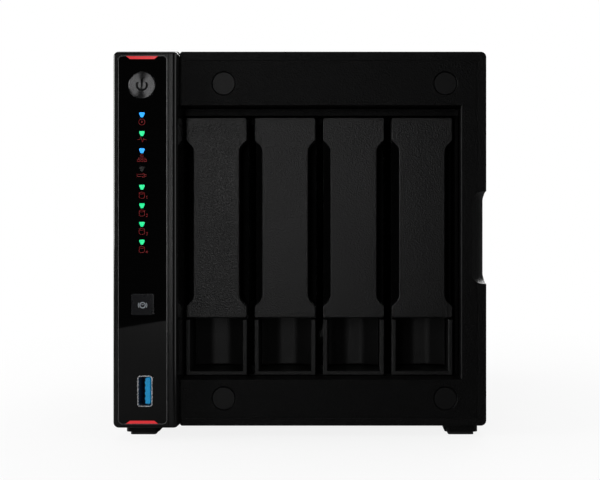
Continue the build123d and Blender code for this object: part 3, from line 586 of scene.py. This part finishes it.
DIGITS = {
    1: [(-0.2, 0.4), (0.05, 0.6), (0.05, -0.6)],
    2: [(-0.33, 0.3), (-0.2, 0.58), (0.2, 0.58), (0.33, 0.3), (0.25, 0.0), (-0.33, -0.6), (0.33, -0.6)],
    3: [(-0.33, 0.58), (0.3, 0.58), (0.0, 0.1), (0.3, -0.08), (0.3, -0.4), (0.1, -0.6), (-0.33, -0.55)],
    4: [(0.13, -0.6), (0.13, 0.6), (-0.4, -0.2), (0.4, -0.2)],
}


def add_strip_icons():
    """Thin red pictures under the status lenses: status, activity, network, plug and disks."""
    bm = bmesh.new()
    icon(bm, circle((0, 0), 1.35), STATUS_Z, closed=True)
    icon(bm, circle((0, 0), 0.3, 8), STATUS_Z, closed=True)
    pulse = [(-2.0, 0), (-1.0, 0), (-0.5, 1.1), (0.25, -1.1), (0.75, 0.45), (1.1, 0), (2.0, 0)]
    icon(bm, pulse, ACTIVITY_Z)
    square = [(-0.5, -0.45), (0.5, -0.45), (0.5, 0.45), (-0.5, 0.45)]
    for x, z in ((0, 1.0), (-1.5, -1.1), (0, -1.1), (1.5, -1.1)):
        icon(bm, [(px + x, pz + z) for px, pz in square], NETWORK_Z, closed=True)
    icon(bm, [(-1.5, -0.5), (-1.5, 0.0), (1.5, 0.0), (1.5, -0.5)], NETWORK_Z)
    plug = [(-2.1, -0.5), (-2.1, 0.5), (0.3, 0.5), (0.3, 0.8)]
    plug += [(1.0, 0.8), (1.0, -0.8), (0.3, -0.8), (0.3, -0.5)]
    icon(bm, plug, PLUG_Z, closed=True)
    for prong_z in (0.35, -0.35):
        icon(bm, [(1.0, prong_z), (2.1, prong_z)], PLUG_Z)
    lid = [(1.2 * x, 0.95 + 0.42 * z) for x, z in circle((0, 0), 1.0, 20)]
    drum = [(-1.2, 0.95), (-1.2, -1.0), (-0.6, -1.35), (0.6, -1.35), (1.2, -1.0), (1.2, 0.95)]
    for number, z in zip(BAYS, DISK_Z):
        icon(bm, lid, z, closed=True)
        icon(bm, drum, z)
        icon(bm, DIGITS[number], z - 1.0 * MM, x=strip_x + 2.2 * MM)
    finish_piece("strip_icons", bm, "icon_red", "housing")


def add_panel_edge_highlight():
    """Painted highlight: a narrow bright frame over the edge of the glossy panel, standing in for the
    highlight on the panel's bevelled edge.
    """
    inset = 0.12 * MM
    corner = 1.8 * MM
    width = 0.34 * MM
    depth = 0.28 * MM
    low = (strip_low.x + inset, strip_low.z + inset)
    high = (strip_high.x - inset, strip_high.z - inset)
    bm = bmesh.new()
    stroke(bm, rounded_outline(low, high, corner), width, strip_y + 0.05 * MM, depth, closed=True)
    finish_piece("panel_edge_highlight", bm, "edge_highlight", "housing", bevel=0.06 * MM)


def add_opening_chamfer_highlight():
    """Painted highlight: a slim rounded lighter strip along the right edge of the bay opening, standing
    in for the highlight on the opening's chamfer.
    """
    edge_x = 72.75 * MM
    foot_z = 26.4 * MM
    head_z = 150.2 * MM
    width = 0.5 * MM
    depth = 0.3 * MM
    bm = bmesh.new()
    stroke(bm, [(edge_x, foot_z), (edge_x, head_z)], width, bezel_y - 0.08 * MM, depth)
    finish_piece("opening_chamfer_highlight", bm, "chamfer_highlight", "housing", bevel=0.1 * MM)


def add_power_sign():
    """Black power sign let into the round button: an open ring and its stem."""
    ring_radius = 2.25 * MM
    ring_width = 0.86 * MM
    stem_width = 0.82 * MM
    stem_foot = power_z - 0.73 * MM
    stem_head = power_z + 2.83 * MM
    mark_y = power_low.y + 0.1 * MM
    depth = 0.14 * MM
    bm = bmesh.new()
    stroke(bm, arc((strip_x, power_z), ring_radius, 146, 394, 30), ring_width, mark_y, depth)
    stroke(bm, [(strip_x, stem_foot), (strip_x, stem_head)], stem_width, mark_y, depth)
    finish_piece("power_sign", bm, "icon_black", "power_button")


def add_copy_sign():
    """Pale sign on the square button: a ring with a bar in it, between two arcs."""
    x = (copy_low.x + copy_high.x) / 2 + 0.1 * MM
    bar_z = COPY_Z + 0.2 * MM
    bar_half = 0.55 * MM
    ring_radius, arc_radius = 1.2 * MM, 1.92 * MM
    ring_width, arc_width, bar_width = 0.45 * MM, 0.34 * MM, 0.28 * MM
    mark_y = copy_low.y - ICON_DEPTH / 2
    bm = bmesh.new()
    stroke(bm, circle((x, COPY_Z), ring_radius), ring_width, mark_y, ICON_DEPTH, closed=True)
    stroke(bm, [(x - bar_half, bar_z), (x + bar_half, bar_z)], bar_width, mark_y, ICON_DEPTH)
    for start in (-34, 146):
        outer = arc((x, COPY_Z), arc_radius, start, start + 68, 10)
        stroke(bm, outer, arc_width, mark_y, ICON_DEPTH)
    finish_piece("copy_sign", bm, "icon_white", "copy_button")


def add_usb_liner():
    """Dark blue plastic body behind the tongue of the front USB socket, with its side walls."""
    low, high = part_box("front_usb_shell")
    wall = 0.56 * MM
    sheet = 0.2 * MM
    inset = 1.0 * MM
    front = low.y + 1.4 * MM
    back = high.y - 0.9 * MM
    plate_front = high.y - 1.6 * MM
    bm = bmesh.new()
    slab(bm, (low.x + wall, plate_front, low.z + wall), (high.x - wall, back, high.z - wall))
    for x in (low.x + wall, high.x - wall - sheet):
        slab(bm, (x, front, low.z + inset), (x + sheet, back, high.z - inset))
    for z in (low.z + wall, high.z - wall - sheet):
        slab(bm, (low.x + inset, front, z), (high.x - inset, back, z + sheet))
    finish_piece("front_usb_liner", bm, "usb_liner", "housing")


def add_usb_contacts():
    """Gilded spring contacts on the tongues of all three upright USB sockets."""
    inset = 0.6 * MM
    half = 0.42 * MM
    contact_pitch = 2.4 * MM
    socket_pitch = 18.0 * MM
    for node, sockets in (("front_usb_tongue", 1), ("rear_usb_tongues", 2)):
        low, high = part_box(node)
        middle = (low.z + high.z) / 2
        front, back = low.x - 0.08 * MM, low.x + 0.03 * MM
        start, end = low.y + inset, high.y - inset
        bm = bmesh.new()
        for k in range(sockets):
            z = middle + (k - (sockets - 1) / 2) * socket_pitch
            for step in range(4):
                contact_z = z + (step - 1.5) * contact_pitch
                slab(bm, (front, start, contact_z - half), (back, end, contact_z + half))
        finish_piece(f"{node}_contacts", bm, "gold_contact", "housing")


# ---------------------------------------------------------------- drive and tray details
def disc(bm, centre, radius, depth, axis, steps=24):
    """A short cylinder about a point, along axis "X" or "Y"."""
    turn = Matrix.Rotation(math.pi / 2, 4, "Y" if axis == "X" else "X")
    matrix = Matrix.Translation(centre) @ turn
    bmesh.ops.create_cone(
        bm,
        cap_ends=True,
        segments=steps,
        radius1=radius,
        radius2=radius,
        depth=depth,
        matrix=matrix,
    )


def add_drive_details(bay):
    """Lid screws, spindle boss and a plain label on the lid of one drive."""
    low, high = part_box(f"drive_{bay}")
    lid_x = low.x
    middle_y = (low.y + high.y) / 2
    middle_z = (low.z + high.z) / 2
    body = f"tray_{bay}"
    head_radius = 2.4 * MM
    socket_radius = 1.1 * MM
    boss_radius = 14 * MM
    height = 0.3 * MM
    bm = bmesh.new()
    for y in (low.y + 8 * MM, middle_y, high.y - 8 * MM):
        for z in (low.z + 7 * MM, high.z - 7 * MM):
            disc(bm, (lid_x - 0.05 * MM, y, z), head_radius, height, "X")
            disc(bm, (lid_x - 0.1 * MM, y, z), socket_radius, height, "X", 6)
    disc(bm, (lid_x - 0.02 * MM, low.y + 60 * MM, middle_z), boss_radius, height, "X", 48)
    finish_piece(f"drive_screws_{bay}", bm, "screw_steel", body, bevel=0.1 * MM)

    face_x = lid_x - 0.08 * MM
    margin = 16 * MM
    label_low = (face_x, low.y + 84 * MM, low.z + margin)
    label_high = (lid_x + 0.05 * MM, high.y - 12 * MM, high.z - margin)
    bm = bmesh.new()
    slab(bm, label_low, label_high)
    finish_piece(f"drive_label_{bay}", bm, "white_plastic", body, bevel=0.02 * MM)

    ink = 0.02 * MM
    start = low.y + 90 * MM
    bm = bmesh.new()
    for row in range(6):
        z = high.z - (24 + 5 * row) * MM
        end = start + (38 if row % 2 else 30) * MM
        slab(bm, (face_x - ink, start, z), (face_x + ink, end, z + 1.1 * MM))
    finish_piece(f"drive_label_lines_{bay}", bm, "icon_black", body)


def add_shade_sheet(bay):
    """Painted shade: a thin matt black sheet on the carrier plate behind the lever, below the hinge
    ears, standing in for the shade in the slots beside the lever.
    """
    low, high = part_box(f"tray_{bay}")
    carrier_y = low.y + 11.5 * MM
    front, back = carrier_y - 0.12 * MM, carrier_y + 0.05 * MM
    foot_z, head_z = 54.0 * MM, 135.5 * MM
    side = 0.02 * MM
    bm = bmesh.new()
    slab(bm, (low.x + side, front, foot_z), (high.x - side, back, head_z))
    finish_piece(f"shade_sheet_{bay}", bm, "black_felt", f"tray_{bay}")


def add_tray_screws(bay):
    """Four countersunk screws that hold the drive to the tray's side plate."""
    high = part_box(f"tray_{bay}")[1]
    drive_low, drive_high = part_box(f"drive_{bay}")
    plate_x = high.x - 0.05 * MM
    edge = 9 * MM
    head_radius = 3.0 * MM
    head_height = 0.08 * MM
    bm = bmesh.new()
    for y in (drive_low.y + 28 * MM, drive_low.y + 130 * MM):
        for z in (drive_low.z + edge, drive_high.z - edge):
            disc(bm, (plate_x, y, z), head_radius, head_height, "X")
    finish_piece(f"tray_screws_{bay}", bm, "black_screw", f"tray_{bay}")


# ---------------------------------------------------------------- rear details
def add_jack_contacts():
    """Eight gilded wires and two light windows in each network jack."""
    low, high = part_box("network_jacks")
    hole_left = low.x + 3.2 * MM
    wire_x = (hole_left + 0.05 * MM, hole_left + 1.1 * MM)
    wire_y = (high.y - 11 * MM, high.y - 3 * MM)
    wire_half, wire_pitch = 0.18 * MM, 1.02 * MM
    window_x = (high.x - 2.6 * MM, high.x - 0.9 * MM)
    window_y = (high.y - 0.5 * MM, high.y + 0.02 * MM)
    window_half, window_off = 1.4 * MM, 5.4 * MM
    half_jack = 8 * MM
    wires = bmesh.new()
    windows = bmesh.new()
    for z in (low.z + half_jack, high.z - half_jack):
        for step in range(8):
            wire_z = z + (step - 3.5) * wire_pitch
            near = (wire_x[0], wire_y[0], wire_z - wire_half)
            slab(wires, near, (wire_x[1], wire_y[1], wire_z + wire_half))
        for side in (-1, 1):
            window_z = z + side * window_off
            near = (window_x[0], window_y[0], window_z - window_half)
            slab(windows, near, (window_x[1], window_y[1], window_z + window_half))
    finish_piece("jack_contacts", wires, "gold_contact", "housing")
    finish_piece("jack_lights", windows, "dark_green_lens", "housing")


def add_fan_label():
    """Plain round sticker on the fan's motor plate, seen through the guard."""
    low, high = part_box("fan_frame")
    centre = ((low.x + high.x) / 2, high.y + 0.03 * MM, (low.z + high.z) / 2)
    radius = 16 * MM
    thickness = 0.1 * MM
    bm = bmesh.new()
    disc(bm, centre, radius, thickness, "Y", 64)
    finish_piece("fan_label", bm, "white_plastic", "housing")


# ---------------------------------------------------------------- assembly
add_camera()
materials = make_materials()
dress_nodes(materials)
add_strip_icons()
add_panel_edge_highlight()
add_opening_chamfer_highlight()
add_power_sign()
add_copy_sign()
add_usb_liner()
add_usb_contacts()
for bay_number in BAYS:
    add_drive_details(bay_number)
    add_shade_sheet(bay_number)
    add_tray_screws(bay_number)
add_jack_contacts()
add_fan_label()
add_floor()
add_lights()
add_world()
bpy.context.scene.view_settings.view_transform = "Standard"
